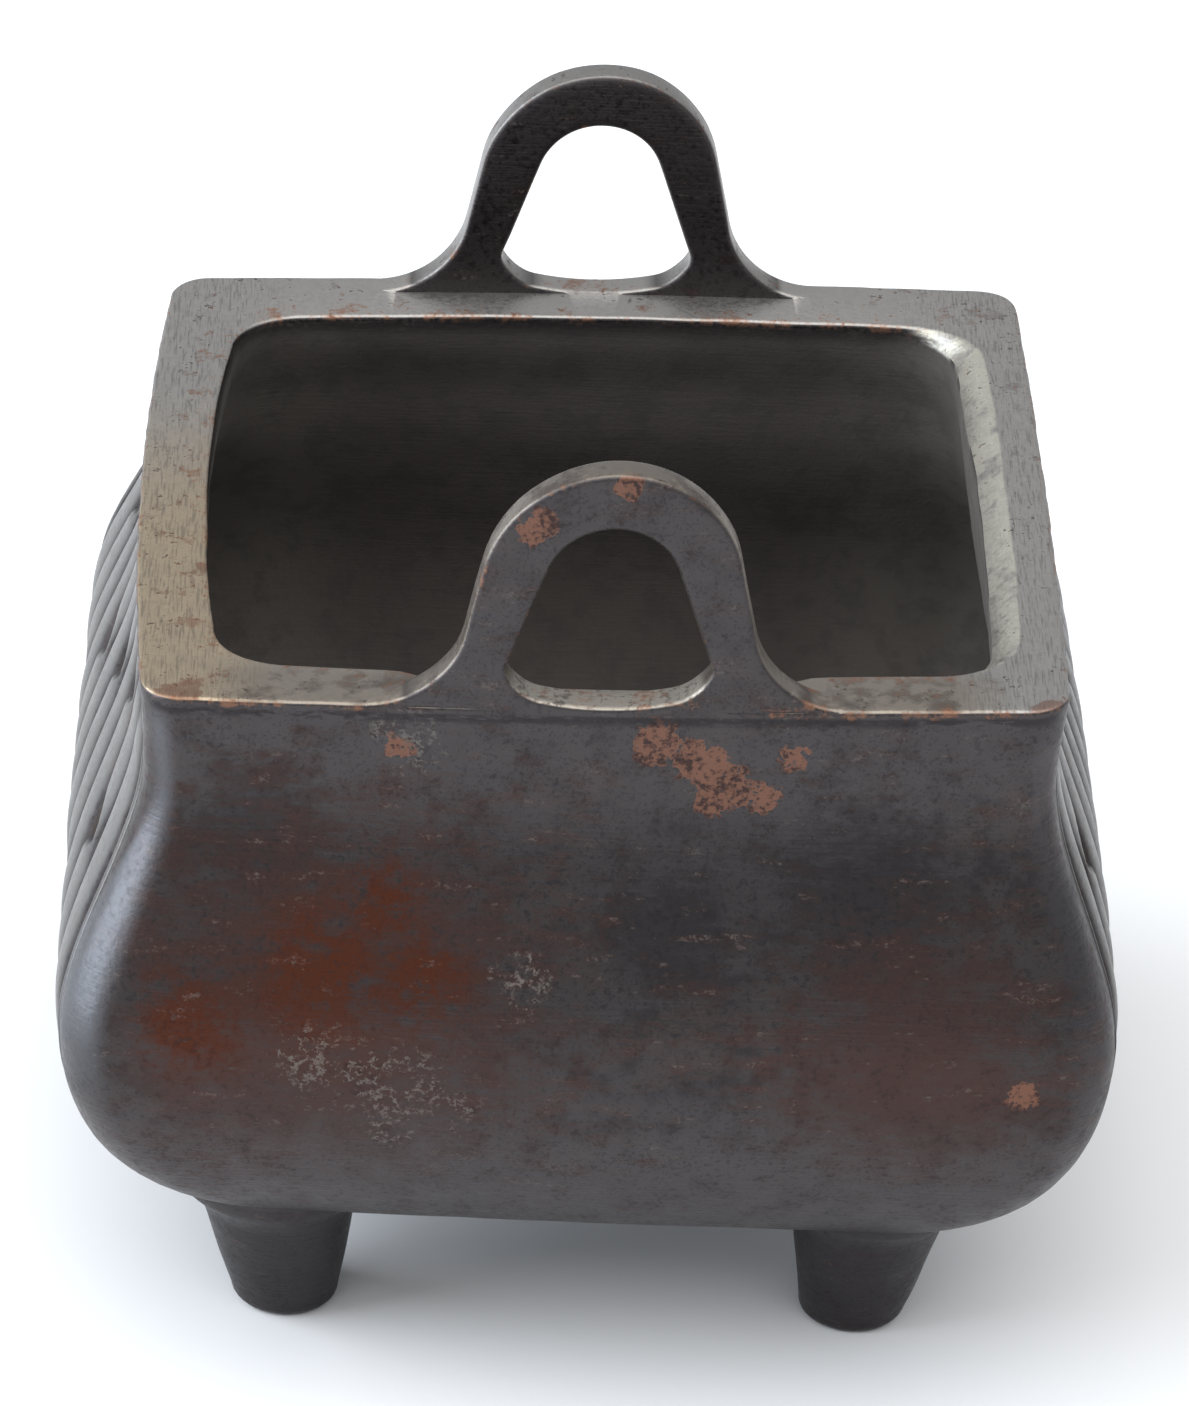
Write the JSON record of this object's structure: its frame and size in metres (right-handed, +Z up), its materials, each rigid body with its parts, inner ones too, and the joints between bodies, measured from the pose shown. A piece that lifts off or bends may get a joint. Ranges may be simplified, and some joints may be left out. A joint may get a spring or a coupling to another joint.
{
  "type": "incense burner",
  "caption": "Small cast bronze incense burner: a square bellied bowl on short tapering feet, with a thick flat rim, arched loop handles and carved ribbed sides, for burning incense in ash.",
  "frame": {"origin": "on the ground, under the middle of the bowl's outer box", "axes": "+Z up; -Y and +Y toward the plain faces that carry the handles; -X and +X toward the carved, ribbed faces"},
  "size_m": [0.0708, 0.0702, 0.0704],
  "materials": {
    "bronze": "satin charcoal-brown patina, worn to warm metal at the edges"
  },
  "bodies": {
    "root": {"incense_burner": "bronze"}
  },
  "joints": []
}
